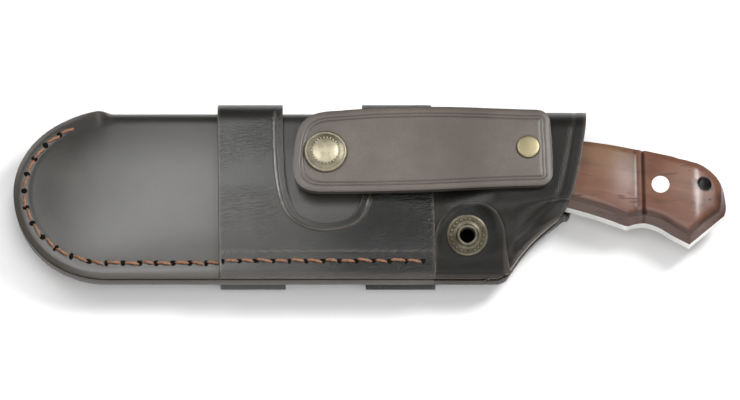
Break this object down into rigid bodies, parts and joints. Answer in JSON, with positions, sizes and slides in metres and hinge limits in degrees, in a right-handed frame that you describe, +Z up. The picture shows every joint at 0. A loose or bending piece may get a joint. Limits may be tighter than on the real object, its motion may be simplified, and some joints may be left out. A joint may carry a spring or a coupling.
{
  "type": "sheathed belt knife",
  "caption": "Full-tang fixed-blade knife with wooden scales, drawn into a wide folded leather belt sheath with rear loops and a snap-down carrying strap.",
  "frame": {"origin": "centre of the bounding box at its bottom: the table that the sheath's rear belt loops lie on", "axes": "+X along the sheath from its rounded toe to the knife's butt, +Y towards the fold and the blade's spine, +Z up through the front with the strap"},
  "size_m": [0.2452, 0.0636, 0.0282],
  "materials": {
    "blade_steel": "satin ground stainless steel with polished edges",
    "handle_wood": "oiled reddish-brown hardwood, semi-gloss",
    "pin_steel": "polished bright steel",
    "sheath_leather": "smooth dark brown waxed leather, soft sheen",
    "edge_leather": "black-brown burnished leather edge",
    "waxed_thread": "waxed orange-tan twisted thread",
    "wrap_leather": "dark brown leather with fine wrinkles",
    "antique_brass": "antique brass, satin",
    "rivet_brass": "olive brass, satin",
    "strap_leather": "lighter brown-grey smooth leather",
    "spring_steel": "bright spring wire"
  },
  "bodies": {
    "sheath": {"sheath_body": "sheath_leather", "welt": "edge_leather", "seam_thread": "waxed_thread", "outer_wrap": "wrap_leather", "rear_loop_toe": "wrap_leather", "rear_loop_throat": "wrap_leather", "stud_tab": "sheath_leather", "tab_stud": "antique_brass", "tab_stud_post": "antique_brass", "strap_stud": "antique_brass", "strap_stud_post": "antique_brass", "rivet_cap": "rivet_brass", "rivet_post": "rivet_brass", "strap_fixed_end": "strap_leather"},
    "strap": {"strap_free_end": "strap_leather", "snap_cap": "antique_brass", "snap_socket": "antique_brass", "snap_spring": "spring_steel"},
    "knife": {"blade": "blade_steel", "front_scale": "handle_wood", "back_scale": "handle_wood", "handle_pins": "pin_steel"}
  },
  "joints": [
    {"name": "knife_draw", "type": "slide", "parent": "sheath", "child": "knife", "axis": [1, 0, 0], "range_m": [0, 0.2]},
    {"name": "strap_lift", "type": "hinge", "parent": "sheath", "child": "strap", "pos_m": [0.042, 0.012, 0.0271], "axis": [0, 1, 0], "range_deg": [0, 120]}
  ]
}
